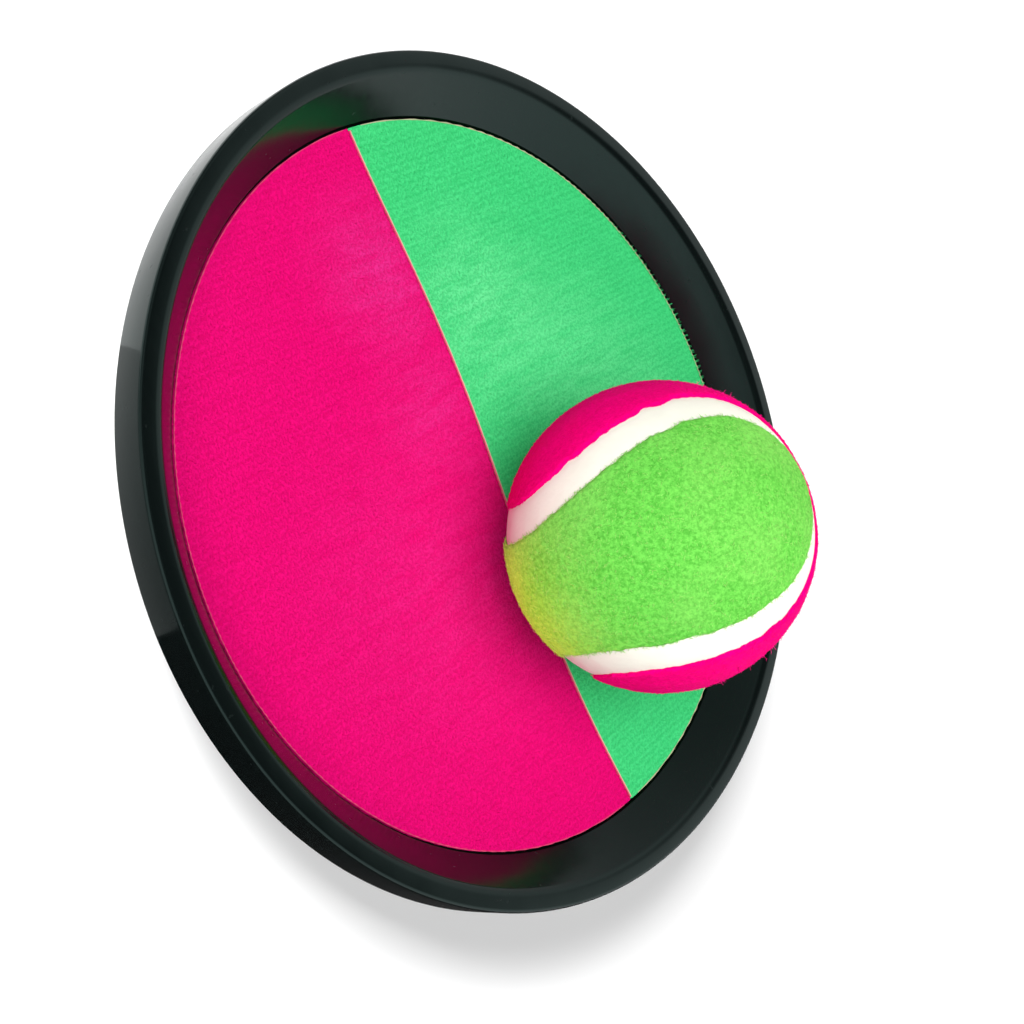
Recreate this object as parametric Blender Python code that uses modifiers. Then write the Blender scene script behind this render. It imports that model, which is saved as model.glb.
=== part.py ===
# Hook and loop catch set: a round dish paddle with two half-round grip pads,
# a hand strap on its back, and a felt ball that clings to the pads.
# The paddle lies on its back with the pads facing up. Z = 0 is the table, the
# Z axis is the axis of the dish, and the seam between the pads runs along Y.

import math

import bmesh
import bpy
from mathutils import Euler, Matrix, Vector

MM = 0.001

# Dish
DISH_RADIUS = 92.5 * MM
DISH_WALL = 2.0 * MM
FLOOR_THICKNESS = 2.0 * MM
LIP_WIDTH = 4.2 * MM
LIP_OUTER_FILLET = 0.9 * MM
LIP_INNER_FILLET = 2.6 * MM
LIP_LEAST_FLAT = 0.2 * MM
SKIRT_DEPTH = 9.2 * MM
SEAT_FILLET = 0.5 * MM
FLOOR_CORNER_FILLET = 1.5 * MM
DISH_STEPS = 80

# Stiffening ribs under the rim and on the back of the floor
RIM_RIBS = 24
RIM_RIB_THICKNESS = 1.2 * MM
RIM_RIB_SETBACK = 1.0 * MM
RING_RIB_RADIUS = 72.0 * MM
RING_RIB_THICKNESS = 1.6 * MM
RING_RIB_HEIGHT = 2.0 * MM
ROOT_DEPTH = 0.8 * MM

# Grip pads
PAD_RADIUS = 80.4 * MM
PAD_THICKNESS = 1.6 * MM
PAD_DEPTH = 8.9 * MM
PAD_EDGE_CLEARANCE = 0.6 * MM
PAD_EDGE_ROUNDING = 0.3 * MM
PAD_ARC_STEPS = 40

# Strap bridges moulded on the back
BRIDGE_SPACING = 112.0 * MM
BAR_WIDTH = 7.0 * MM
BAR_THICKNESS = 4.5 * MM
SLOT_HEIGHT = 7.5 * MM
SLOT_SIDE_CLEARANCE = 2.0 * MM
POST_WIDTH = 5.0 * MM
BRIDGE_CORNER = 5.0 * MM
SLOT_CORNER = 1.2 * MM
BRIDGE_ROUNDING = 0.8 * MM

# Hand strap and its fastening tapes
STRAP_WIDTH = 38.0 * MM
STRAP_THICKNESS = 1.5 * MM
SEWN_LENGTH = 20.0 * MM
SEWN_BEND_RUN = 11.0 * MM
FOLD_BEND_RUN = 6.0 * MM
TAPE_THICKNESS = 1.2 * MM
LOOP_TAPE_LENGTH = 60.0 * MM
HOOK_TAPE_LENGTH = 40.0 * MM
TAPE_EDGE_MARGIN = 1.5 * MM

# Ball
BALL_RADIUS = 32.5 * MM
FELT_THICKNESS = 2.8 * MM
SEAM_WIDTH = 7.6 * MM
SEAM_RECESS = 0.6 * MM
SEAM_WAVE = 0.25
BALL_PLACE = (4.7 * MM, -22.0 * MM)
BALL_TURN = (59.0, -31.3, 108.8)
FELT_ROWS = 44
FELT_COLUMNS = 10
FELT_ROW_SHIFT = 0.05
FELT_EDGE_ROUNDING = 0.6 * MM
CORE_SEGMENTS = 24

# Clearance between touching pieces, and how near two points have to be to become one
GAP = 0.3 * MM
AXIS_WELD = 0.05 * MM
WELD = 0.02 * MM

# Heights worked out from the sizes above, from the table up
BAR_BOTTOM = STRAP_THICKNESS + GAP
BAR_TOP = BAR_BOTTOM + BAR_THICKNESS
FLOOR_BOTTOM = BAR_TOP + SLOT_HEIGHT
FLOOR_TOP = FLOOR_BOTTOM + FLOOR_THICKNESS
PAD_BOTTOM = FLOOR_TOP + GAP
PAD_TOP = PAD_BOTTOM + PAD_THICKNESS
CREST = PAD_TOP + PAD_DEPTH
SKIRT_BOTTOM = CREST - SKIRT_DEPTH
SEAT_RADIUS = PAD_RADIUS + PAD_EDGE_CLEARANCE
WALL_FOOT = Vector((SEAT_RADIUS, PAD_TOP))
WALL_HEAD = Vector((DISH_RADIUS - LIP_WIDTH, CREST))

COLLECTION = "hook_and_loop_catch_set"
HELPERS = "helpers"


def clear_scene():
    for obj in list(bpy.data.objects):
        bpy.data.objects.remove(obj, do_unlink=True)
    for name in (COLLECTION, HELPERS):
        collection = bpy.data.collections.new(name)
        bpy.context.scene.collection.children.link(collection)


def make_material(name, colour, roughness, metallic=0.0):
    material = bpy.data.materials.new(name)
    material.use_nodes = True
    shader = material.node_tree.nodes["Principled BSDF"]
    shader.inputs["Base Color"].default_value = (*colour, 1.0)
    shader.inputs["Roughness"].default_value = roughness
    shader.inputs["Metallic"].default_value = metallic
    return material


def add_object(name, mesh, material=None, helper=False):
    obj = bpy.data.objects.new(name, mesh)
    bpy.data.collections[HELPERS if helper else COLLECTION].objects.link(obj)
    if material:
        mesh.materials.append(material)
    if helper:
        obj.hide_render = True
        obj.display_type = "WIRE"
    return obj


def smooth(mesh, angle=35.0):
    mesh.shade_smooth()
    mesh.set_sharp_from_angle(angle=math.radians(angle))


def arc(centre, radius, start, end, segments):
    """Points of a round stretch, with angles in degrees."""
    points = []
    for i in range(segments + 1):
        a = math.radians(start + (end - start) * i / segments)
        points.append(Vector((centre[0] + radius * math.cos(a), centre[1] + radius * math.sin(a))))
    return points


def add_screw(obj, steps):
    screw = obj.modifiers.new("turn", "SCREW")
    screw.axis = "Z"
    screw.steps = steps
    screw.render_steps = steps
    screw.use_merge_vertices = True
    screw.merge_threshold = AXIS_WELD
    screw.use_smooth_shade = True


def profile_mesh(name, points, closed=False):
    """A profile line in the XZ plane, ready to be turned about Z."""
    edges = [(i, i + 1) for i in range(len(points) - 1)]
    if closed:
        edges.append((len(points) - 1, 0))
    mesh = bpy.data.meshes.new(name)
    mesh.from_pydata([(p[0], 0.0, p[1]) for p in points], edges, [])
    return mesh


def add_union(obj, tool):
    union = obj.modifiers.new(tool.name, "BOOLEAN")
    union.operation = "UNION"
    union.solver = "EXACT"
    union.object = tool


def add_rounding(obj, width, segments=2, angle=40.0):
    bevel = obj.modifiers.new("rounding", "BEVEL")
    bevel.width = width
    bevel.segments = segments
    bevel.limit_method = "ANGLE"
    bevel.angle_limit = math.radians(angle)


def outline_mesh(name, points, thickness):
    """A flat outline in the XY plane, extruded to the thickness about Z = 0."""
    curve = bpy.data.curves.new(name, "CURVE")
    curve.dimensions = "2D"
    curve.fill_mode = "BOTH"
    curve.extrude = thickness / 2
    spline = curve.splines.new("POLY")
    spline.points.add(len(points) - 1)
    for point, place in zip(spline.points, points):
        point.co = (place[0], place[1], 0.0, 1.0)
    spline.use_cyclic_u = True
    drawing = bpy.data.objects.new(name + "_outline", curve)
    bpy.context.scene.collection.objects.link(drawing)
    bpy.context.view_layer.update()
    evaluated = drawing.evaluated_get(bpy.context.evaluated_depsgraph_get())
    mesh = bpy.data.meshes.new_from_object(evaluated)
    bpy.data.objects.remove(drawing)
    mesh.name = name
    bm = bmesh.new()
    bm.from_mesh(mesh)
    bmesh.ops.remove_doubles(bm, verts=bm.verts, dist=WELD)
    bmesh.ops.recalc_face_normals(bm, faces=bm.faces)
    bm.to_mesh(mesh)
    bm.free()
    return mesh


def fillet(before, corner, after, radius, segments, room=math.inf):
    """Points of the arc that rounds a corner between two straight lines, using up
    no more of either line than there is room for."""
    to_before = (before - corner).normalized()
    to_after = (after - corner).normalized()
    half = to_before.angle(to_after) / 2
    radius = min(radius, room * math.tan(half))
    centre = corner + (to_before + to_after).normalized() * radius / math.sin(half)
    start = corner + to_before * radius / math.tan(half) - centre
    end = corner + to_after * radius / math.tan(half) - centre
    return [centre + start.slerp(end, i / segments) * radius for i in range(segments + 1)]


def along_flare(depth, height):
    """Point at a height on a line parallel to the flared wall, at a depth under its surface."""
    direction = (WALL_HEAD - WALL_FOOT).normalized()
    inside = WALL_FOOT + Vector((direction.y, -direction.x)) * depth
    return inside + direction * ((height - inside.y) / direction.y)


def dish_profile():
    """Section of the dish from the axis over floor, pad seat, flared wall and lip,
    down the skirt and back to the axis along the underside."""
    centre_top = Vector((0.0, FLOOR_TOP))
    seat = Vector((SEAT_RADIUS, FLOOR_TOP))
    lip_corner = Vector((DISH_RADIUS, CREST))
    skirt_foot = Vector((DISH_RADIUS, SKIRT_BOTTOM))
    inside_foot = Vector((DISH_RADIUS - DISH_WALL, SKIRT_BOTTOM))
    inside_lip = Vector((DISH_RADIUS - DISH_WALL, CREST - DISH_WALL))
    under_lip = along_flare(DISH_WALL, CREST - DISH_WALL)
    seat_outside = SEAT_RADIUS + DISH_WALL
    flare_slope = (WALL_HEAD.y - WALL_FOOT.y) / (WALL_HEAD.x - WALL_FOOT.x)
    under_flare = Vector((seat_outside, under_lip.y - (under_lip.x - seat_outside) * flare_slope))
    floor_corner = Vector((seat_outside, FLOOR_BOTTOM))
    centre_bottom = Vector((0.0, FLOOR_BOTTOM))
    lip_room = LIP_WIDTH - LIP_OUTER_FILLET - LIP_LEAST_FLAT
    points = [centre_top]
    points += fillet(centre_top, seat, WALL_FOOT, SEAT_FILLET, 2)
    points += [WALL_FOOT]
    points += fillet(WALL_FOOT, WALL_HEAD, lip_corner, LIP_INNER_FILLET, 3, lip_room)
    points += fillet(WALL_HEAD, lip_corner, skirt_foot, LIP_OUTER_FILLET, 4)
    points += [skirt_foot, inside_foot, inside_lip, under_lip, under_flare]
    points += fillet(under_flare, floor_corner, centre_bottom, FLOOR_CORNER_FILLET, 3)
    points += [centre_bottom]
    return points


def rim_ribs_mesh():
    """Thin radial webs that fill the channel under the rim."""
    low = SKIRT_BOTTOM + RIM_RIB_SETBACK
    high = CREST - DISH_WALL / 2
    half_wall = DISH_RADIUS - DISH_WALL / 2
    outline = [
        along_flare(DISH_WALL / 2, low),
        along_flare(DISH_WALL / 2, high),
        Vector((half_wall, high)),
        Vector((half_wall, low)),
    ]
    rib = outline_mesh("rim_rib", outline, RIM_RIB_THICKNESS)
    upright = Matrix.Rotation(math.pi / 2, 4, "X")
    bm = bmesh.new()
    for i in range(RIM_RIBS):
        copy = rib.copy()
        copy.transform(Matrix.Rotation(2 * math.pi * (i + 0.5) / RIM_RIBS, 4, "Z") @ upright)
        bm.from_mesh(copy)
        bpy.data.meshes.remove(copy)
    mesh = bpy.data.meshes.new("rim_ribs")
    bm.to_mesh(mesh)
    bm.free()
    return mesh


def ring_rib():
    outer = RING_RIB_RADIUS + RING_RIB_THICKNESS / 2
    inner = RING_RIB_RADIUS - RING_RIB_THICKNESS / 2
    top = FLOOR_BOTTOM + ROOT_DEPTH
    bottom = FLOOR_BOTTOM - RING_RIB_HEIGHT
    section = [(outer, top), (outer, bottom), (inner, bottom), (inner, top)]
    obj = add_object("ring_rib", profile_mesh("ring_rib", section, closed=True), helper=True)
    add_screw(obj, DISH_STEPS)
    return obj


def strap_bridge(name, x):
    """A moulded U that stands off the back; the strap passes between it and the floor."""
    slot_half = STRAP_WIDTH / 2 + SLOT_SIDE_CLEARANCE
    half = slot_half + POST_WIDTH
    top = FLOOR_BOTTOM + ROOT_DEPTH
    low_corner = BAR_BOTTOM + BRIDGE_CORNER
    slot_corner = BAR_TOP + SLOT_CORNER
    points = [Vector((-half, top))]
    points += arc((-half + BRIDGE_CORNER, low_corner), BRIDGE_CORNER, 180.0, 270.0, 5)
    points += arc((half - BRIDGE_CORNER, low_corner), BRIDGE_CORNER, 270.0, 360.0, 5)
    points += [Vector((half, top)), Vector((slot_half, top))]
    points += arc((slot_half - SLOT_CORNER, slot_corner), SLOT_CORNER, 0.0, -90.0, 3)
    points += arc((-slot_half + SLOT_CORNER, slot_corner), SLOT_CORNER, -90.0, -180.0, 3)
    points += [Vector((-slot_half, top))]
    mesh = outline_mesh(name, points, BAR_WIDTH)
    stand_up = Matrix(((0, 0, 1, 0), (1, 0, 0, 0), (0, 1, 0, 0), (0, 0, 0, 1)))
    mesh.transform(stand_up)
    obj = add_object(name, mesh, helper=True)
    obj.location.x = x
    add_rounding(obj, BRIDGE_ROUNDING)
    return obj


def make_dish():
    plastic = make_material("black_plastic", (0.018, 0.024, 0.024), 0.28)
    dish = add_object("dish_shell", profile_mesh("dish_shell", dish_profile()), plastic)
    add_screw(dish, DISH_STEPS)
    add_union(dish, add_object("rim_ribs", rim_ribs_mesh(), helper=True))
    add_union(dish, ring_rib())
    add_union(dish, strap_bridge("bridge_sewn_end", -BRIDGE_SPACING / 2))
    add_union(dish, strap_bridge("bridge_folded_end", BRIDGE_SPACING / 2))


def make_pad(name, colour, side):
    """Half-round pad on one side of the seam, side -1 or +1 along X."""
    edge = GAP / 2
    reach = math.degrees(math.acos(edge / PAD_RADIUS))
    points = arc((0.0, 0.0), PAD_RADIUS, -reach, reach, PAD_ARC_STEPS)
    mesh = outline_mesh(name, points, PAD_THICKNESS)
    if side < 0:
        mesh.transform(Matrix.Rotation(math.pi, 4, "Z"))
    pad = add_object(name, mesh, make_material(name, colour, 0.9))
    pad.location.z = PAD_BOTTOM + PAD_THICKNESS / 2
    add_rounding(pad, PAD_EDGE_ROUNDING, segments=1)


def rise(start, end, segments=6):
    """Smooth bend between two levels, both ends left out."""
    points = []
    for i in range(1, segments):
        share = i / segments
        ease = (1 - math.cos(math.pi * share)) / 2
        points.append(Vector((start[0] + (end[0] - start[0]) * share,
                              start[1] + (end[1] - start[1]) * ease)))
    return points


def strap_levels():
    """Centre heights of the strap: under the bars, sewn end, folded end, and span."""
    under = STRAP_THICKNESS / 2
    span = BAR_TOP + GAP + STRAP_THICKNESS / 2
    sewn = span - STRAP_THICKNESS - GAP
    folded = span - STRAP_THICKNESS - 3 * GAP - 2 * TAPE_THICKNESS
    return under, sewn, folded, span


def strap_path():
    """Side view of the strap's centre line, from its sewn end to its folded end."""
    under, sewn, folded, span = strap_levels()
    bar = BRIDGE_SPACING / 2
    inboard = bar - BAR_WIDTH / 2 - GAP
    turn_radius = (span - under) / 2
    turn_x = bar + BAR_WIDTH / 2 - BRIDGE_ROUNDING
    middle = (span + under) / 2
    sewn_start = -inboard + SEWN_BEND_RUN
    folded_start = inboard - FOLD_BEND_RUN
    path = [Vector((sewn_start + SEWN_LENGTH, sewn)), Vector((sewn_start, sewn))]
    path += rise((sewn_start, sewn), (-inboard, under))
    path += [Vector((-inboard, under))]
    path += arc((-turn_x, middle), turn_radius, -90.0, -270.0, 10)
    path += arc((turn_x, middle), turn_radius, 90.0, -90.0, 10)
    path += [Vector((inboard, under))]
    path += rise((inboard, under), (folded_start, folded))
    path += [Vector((folded_start, folded))]
    path += [Vector((folded_start - HOOK_TAPE_LENGTH, folded))]
    return path


def make_strap():
    webbing = make_material("black_webbing", (0.02, 0.02, 0.022), 0.85)
    path = strap_path()
    half = STRAP_WIDTH / 2
    bm = bmesh.new()
    rows = [[bm.verts.new((p.x, y, p.y)) for y in (-half, half)] for p in path]
    for low, high in zip(rows, rows[1:]):
        bm.faces.new((low[0], high[0], high[1], low[1]))
    mesh = bpy.data.meshes.new("hand_strap")
    bm.to_mesh(mesh)
    bm.free()
    strap = add_object("hand_strap", mesh, webbing)
    cloth = strap.modifiers.new("cloth", "SOLIDIFY")
    cloth.thickness = STRAP_THICKNESS
    cloth.offset = 0.0
    cloth.use_even_offset = True


def make_tape(name, length, top, material):
    """A flat fastening tape that ends where the folded end of the strap begins."""
    end = BRIDGE_SPACING / 2 - BAR_WIDTH / 2 - GAP - FOLD_BEND_RUN
    width = STRAP_WIDTH - 2 * TAPE_EDGE_MARGIN
    bpy.ops.mesh.primitive_cube_add(size=1.0)
    tape = bpy.context.object
    tape.name = name
    tape.data.name = name
    tape.data.transform(Matrix.Diagonal((length, width, TAPE_THICKNESS, 1.0)))
    tape.location = (end - length / 2, 0.0, top - TAPE_THICKNESS / 2)
    tape.data.materials.append(material)
    for collection in list(tape.users_collection):
        collection.objects.unlink(tape)
    bpy.data.collections[COLLECTION].objects.link(tape)


def make_tapes():
    span_underside = strap_levels()[3] - STRAP_THICKNESS / 2
    loop_top = span_underside - GAP
    hook_top = loop_top - TAPE_THICKNESS - GAP
    loop = make_material("loop_tape", (0.03, 0.03, 0.032), 0.95)
    hook = make_material("hook_tape", (0.015, 0.015, 0.017), 0.7)
    make_tape("strap_loop_tape", LOOP_TAPE_LENGTH, loop_top, loop)
    make_tape("strap_hook_tape", HOOK_TAPE_LENGTH, hook_top, hook)


def seam_point(t):
    """Point of the ball's wavy seam line on a unit sphere."""
    a = 1.0 - SEAM_WAVE
    b = SEAM_WAVE
    return Vector((a * math.cos(t) + b * math.cos(3 * t),
                   a * math.sin(t) - b * math.sin(3 * t),
                   2 * math.sqrt(a * b) * math.sin(2 * t)))


def seam_parameter(i):
    """Curve parameter of a row. The felt panels and the seam share the same rows."""
    even = -math.pi / 4 + math.pi * i / FELT_ROWS
    return even - FELT_ROW_SHIFT * math.sin(4 * even)


def beside_seam(t, distance):
    """Unit vector at a distance beside the seam line, measured on the ball's surface."""
    place = seam_point(t)
    small = 0.001
    along = (seam_point(t + small) - seam_point(t - small)).normalized()
    across = place.cross(along)
    angle = distance / BALL_RADIUS
    return (place * math.cos(angle) + across * math.sin(angle)).normalized()


def shell_mesh(name, rows, inner, outer, closed):
    """Rows of unit vectors become a skin between two radii about the ball's centre."""
    bm = bmesh.new()
    grid = [[bm.verts.new(direction * inner) for direction in row] for row in rows]
    if closed:
        grid.append(grid[0])
    for low, high in zip(grid, grid[1:]):
        for i in range(len(low) - 1):
            bm.faces.new((low[i], low[i + 1], high[i + 1], high[i]))
    bmesh.ops.remove_doubles(bm, verts=bm.verts, dist=WELD)
    grown = bmesh.ops.extrude_face_region(bm, geom=bm.faces[:], use_keep_orig=True)
    for item in grown["geom"]:
        if isinstance(item, bmesh.types.BMVert):
            item.co *= outer / inner
    bmesh.ops.recalc_face_normals(bm, faces=bm.faces)
    mesh = bpy.data.meshes.new(name)
    bm.to_mesh(mesh)
    bm.free()
    return mesh


def make_felt(name, colour, turned_over, ball):
    """One dog-bone panel of felt, bounded by the seam. The other one is the same, turned over."""
    edge = (SEAM_WIDTH + GAP) / 2
    rows = []
    for i in range(FELT_ROWS + 1):
        start = beside_seam(seam_parameter(i), edge)
        end = Vector((-start.y, -start.x, start.z))
        rows.append([start.slerp(end, j / FELT_COLUMNS, start) for j in range(FELT_COLUMNS + 1)])
    mesh = shell_mesh(name, rows, BALL_RADIUS - FELT_THICKNESS, BALL_RADIUS, closed=False)
    if turned_over:
        mesh.transform(Matrix.Rotation(math.pi, 4, "X"))
    felt = add_object(name, mesh, make_material(name, colour, 0.95))
    felt.parent = ball
    add_rounding(felt, FELT_EDGE_ROUNDING, segments=1, angle=60.0)


def make_seam(ball):
    """The pale rubber strip that shows between the felt panels."""
    half = (SEAM_WIDTH - GAP) / 2
    rows = []
    for i in range(2 * FELT_ROWS):
        t = seam_parameter(i)
        rows.append([beside_seam(t, share * half) for share in (-1.0, 0.0, 1.0)])
    inner = BALL_RADIUS - FELT_THICKNESS
    mesh = shell_mesh("ball_seam", rows, inner, BALL_RADIUS - SEAM_RECESS, closed=True)
    seam = add_object("ball_seam", mesh, make_material("ball_seam", (0.85, 0.84, 0.82), 0.6))
    seam.parent = ball


def make_ball():
    ball = bpy.data.objects.new("ball", None)
    bpy.data.collections[COLLECTION].objects.link(ball)
    ball.location = (*BALL_PLACE, PAD_TOP + GAP + BALL_RADIUS)
    ball.rotation_euler = Euler([math.radians(angle) for angle in BALL_TURN], "XYZ")
    bm = bmesh.new()
    core_radius = BALL_RADIUS - FELT_THICKNESS - GAP
    bmesh.ops.create_uvsphere(bm, u_segments=CORE_SEGMENTS, v_segments=CORE_SEGMENTS // 2,
                              radius=core_radius)
    mesh = bpy.data.meshes.new("ball_core")
    bm.to_mesh(mesh)
    bm.free()
    core = add_object("ball_core", mesh, make_material("ball_core", (0.12, 0.11, 0.10), 0.8))
    core.parent = ball
    make_felt("ball_felt_magenta", (0.80, 0.0, 0.26), False, ball)
    make_felt("ball_felt_lime", (0.13, 0.80, 0.05), True, ball)
    make_seam(ball)


def main():
    clear_scene()
    make_dish()
    make_pad("pad_pink", (0.95, 0.0, 0.13), -1)
    make_pad("pad_green", (0.06, 0.66, 0.22), 1)
    make_strap()
    make_tapes()
    make_ball()
    for obj in bpy.data.collections[COLLECTION].objects:
        if obj.type == "MESH":
            smooth(obj.data)


main()
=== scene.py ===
import math

import bmesh
import bpy
import numpy as np
from mathutils import Euler, Matrix, Vector, noise


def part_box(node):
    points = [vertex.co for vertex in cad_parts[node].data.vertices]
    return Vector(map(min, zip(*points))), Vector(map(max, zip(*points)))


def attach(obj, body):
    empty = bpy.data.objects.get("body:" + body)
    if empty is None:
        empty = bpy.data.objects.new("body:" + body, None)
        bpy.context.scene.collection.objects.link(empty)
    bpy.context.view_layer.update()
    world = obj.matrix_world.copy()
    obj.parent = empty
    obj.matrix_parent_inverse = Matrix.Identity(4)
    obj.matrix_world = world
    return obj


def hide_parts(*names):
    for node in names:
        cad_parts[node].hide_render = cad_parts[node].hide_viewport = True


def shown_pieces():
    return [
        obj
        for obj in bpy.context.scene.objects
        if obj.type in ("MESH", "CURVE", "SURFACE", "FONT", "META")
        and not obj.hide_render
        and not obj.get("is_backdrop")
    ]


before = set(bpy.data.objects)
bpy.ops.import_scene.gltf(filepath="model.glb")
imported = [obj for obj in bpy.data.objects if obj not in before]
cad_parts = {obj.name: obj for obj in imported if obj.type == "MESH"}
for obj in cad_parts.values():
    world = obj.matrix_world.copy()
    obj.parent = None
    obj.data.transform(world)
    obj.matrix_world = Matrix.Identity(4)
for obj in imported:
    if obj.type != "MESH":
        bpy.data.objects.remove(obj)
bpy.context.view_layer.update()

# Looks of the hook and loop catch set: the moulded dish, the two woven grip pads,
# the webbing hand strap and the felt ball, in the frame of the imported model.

MM = 0.001
BODY = "root"
MERGE_DISTANCE = 0.001 * MM

# Dish, repeated from the part
DISH_RADIUS = 92.5 * MM
DISH_WALL = 2.0 * MM
FLOOR_THICKNESS = 2.0 * MM
LIP_WIDTH = 4.2 * MM
LIP_OUTER_FILLET = 0.9 * MM
LIP_INNER_FILLET = 2.6 * MM
SKIRT_DEPTH = 9.2 * MM
SEAT_FILLET = 0.5 * MM
FLOOR_CORNER_FILLET = 1.5 * MM
SKIRT_EDGE_FILLET = 0.35 * MM
DISH_STEPS = 288
RIM_RIBS = 24
RIM_RIB_THICKNESS = 1.2 * MM
RIM_RIB_SETBACK = 1.0 * MM
RING_RIB_RADIUS = 72.0 * MM
RING_RIB_THICKNESS = 1.6 * MM
RING_RIB_HEIGHT = 2.0 * MM
ROOT_DEPTH = 0.8 * MM
BRIDGE_SPACING = 112.0 * MM
BAR_WIDTH = 7.0 * MM
BAR_THICKNESS = 4.5 * MM
SLOT_HEIGHT = 7.5 * MM
SLOT_SIDE_CLEARANCE = 2.0 * MM
POST_WIDTH = 5.0 * MM
BRIDGE_CORNER = 5.0 * MM
SLOT_CORNER = 1.2 * MM
BRIDGE_ROUNDING = 0.8 * MM
PIN_MARKS = 6
PIN_MARK_RADIUS = 2.2 * MM
PIN_MARK_CIRCLE = 38.0 * MM
PIN_MARK_HEIGHT = 0.15 * MM
GATE_RADIUS = 1.6 * MM
GATE_HEIGHT = 0.5 * MM

# Pads
PAD_RADIUS = 80.4 * MM
ROW_PITCH = 1.45 * MM
ROW_STEPS = 5
PAD_COLUMNS = 44
ROW_RELIEF = 0.035 * MM
HOOK_SPACING = 1.64 * MM
HOOK_STAGGER = 0.382
HOOK_HEIGHT = 0.38 * MM
HOOK_RADIUS = 0.11 * MM

# The seam between the pads: places along it, each with its shift sideways, in millimetres
SEAM_WANDER = [(79, -1.0), (66, -0.5), (54, 0.4), (41, 1.0), (29, 1.25), (16, 1.1), (4, 0.4),
               (-4, -0.4), (-46, -2.6), (-59, -2.1), (-71, -1.0), (-80, 0.0)]

SEAM_EDGE_STEPS = 460
ROUND_EDGE_STEPS = 760
FRAY_SEED = 31
FRAY_HAIR_RADIUS = 0.075 * MM

# A hook's line, out and up, in shares of its height
PAD_HOOK_SHAPE = [(0.0, 0.0), (0.10, 0.62), (0.26, 0.98), (0.52, 0.72)]

# Strap
STRAP_WIDTH = 38.0 * MM
STRAP_THICKNESS = 1.5 * MM
STRAP_COLUMNS = 49
SEWN_LENGTH = 20.0 * MM
SEWN_BEND_RUN = 11.0 * MM
FOLD_BEND_RUN = 6.0 * MM
TAPE_THICKNESS = 1.2 * MM
LOOP_TAPE_LENGTH = 60.0 * MM
HOOK_TAPE_LENGTH = 40.0 * MM
TAPE_EDGE_MARGIN = 1.5 * MM
GAP = 0.3 * MM
TAPE_BASE = 0.55 * MM
PILE_SPACING = 1.2 * MM
PILE_RADIUS = 0.09 * MM
THREAD_RADIUS = 0.2 * MM

# Lines of the tapes' hooks and loops, out and up, in millimetres
TAPE_HOOK_SHAPE = [(0, 0), (0.06, 0.45), (0.28, 0.62), (0.46, 0.40)]
TAPE_LOOP_SHAPE = [(0, 0), (0.2, 0.5), (0.6, 0.55), (0.8, 0.05)]

# Ball, with its turn in degrees
BALL_RADIUS = 32.5 * MM
FELT_THICKNESS = 2.8 * MM
SEAM_WIDTH = 7.6 * MM
SEAM_WAVE = 0.25
BALL_TURN = (59.0, -31.3, 108.8)
FELT_ROWS = 340
FELT_COLUMNS = 116
EDGE_HAIRS = 1500
STRAY_HAIRS = 220
STRAY_SEED = 77
STRAY_RADIUS = 0.06 * MM

# Felt: turned over or not, dark, bright and light tone, sheen, raggedness, seed and hairs
FELT_LOOKS = {
    "magenta": (False, (0.74, 0.0, 0.13), (0.86, 0.0, 0.185), (0.88, 0.0, 0.30), 0.04, 2.0, 2, 5500),
    "lime": (True, (0.066, 0.36, 0.034), (0.155, 0.59, 0.080), (0.46, 0.76, 0.22), 0.30, 0.9, 6, 7500),
}

# Camera, given as the paddle's place before it, with turns in degrees
PADDLE_YAW = 43.74
PADDLE_PITCH = 9.15
SEAM_LEAN = 22.65
CREST_IN_CAMERA = Vector((3.03, 9.35, -322.43)) * MM
LENS = 52.73
SENSOR_WIDTH = 36.0
NEAR_CLIP = 0.01
FLOOR_HALF = 4.0

# Glowing card beside the rim, with turns in degrees about Z
CARD_START = 142.0
CARD_EDGE = 177.0
CARD_END = 335.0
CARD_HEIGHT = 12 * MM
CARD_RADII = (DISH_RADIUS - 9 * MM, DISH_RADIUS + 220 * MM)
CARD_STEPS = 80
CARD_GLOW = (0.34, 0.76)
CARD_DIM = (0.05, 0.01)
CARD_DIM_TURNS = (-55.0, -10.0)

# Heights and places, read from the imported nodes
BAR_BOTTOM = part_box("dish_shell")[0].z
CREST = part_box("dish_shell")[1].z
PAD_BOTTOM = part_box("pad_pink")[0].z
PAD_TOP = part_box("pad_pink")[1].z
BALL_CENTRE = (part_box("ball_core")[0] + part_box("ball_core")[1]) / 2
BAR_TOP = BAR_BOTTOM + BAR_THICKNESS
FLOOR_BOTTOM = BAR_TOP + SLOT_HEIGHT
FLOOR_TOP = FLOOR_BOTTOM + FLOOR_THICKNESS
SKIRT_BOTTOM = CREST - SKIRT_DEPTH
SEAT_RADIUS = PAD_RADIUS + 0.6 * MM
WALL_FOOT = Vector((SEAT_RADIUS, PAD_TOP))
WALL_HEAD = Vector((DISH_RADIUS - LIP_WIDTH, CREST))
CLOTH_LEVEL = PAD_TOP - 0.35 * MM
BAR_PLACE = BRIDGE_SPACING / 2
INBOARD = BAR_PLACE - BAR_WIDTH / 2 - GAP
SEWN_START = SEWN_BEND_RUN - INBOARD
FOLDED_START = INBOARD - FOLD_BEND_RUN

# Centre heights of the strap under the bars, across the dish, and at its two ends
STRAP_UNDER = STRAP_THICKNESS / 2
STRAP_SPAN = BAR_TOP + GAP + STRAP_THICKNESS / 2
STRAP_SEWN = STRAP_SPAN - STRAP_THICKNESS - GAP
STRAP_FOLDED = STRAP_SPAN - STRAP_THICKNESS - 3 * GAP - 2 * TAPE_THICKNESS

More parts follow.
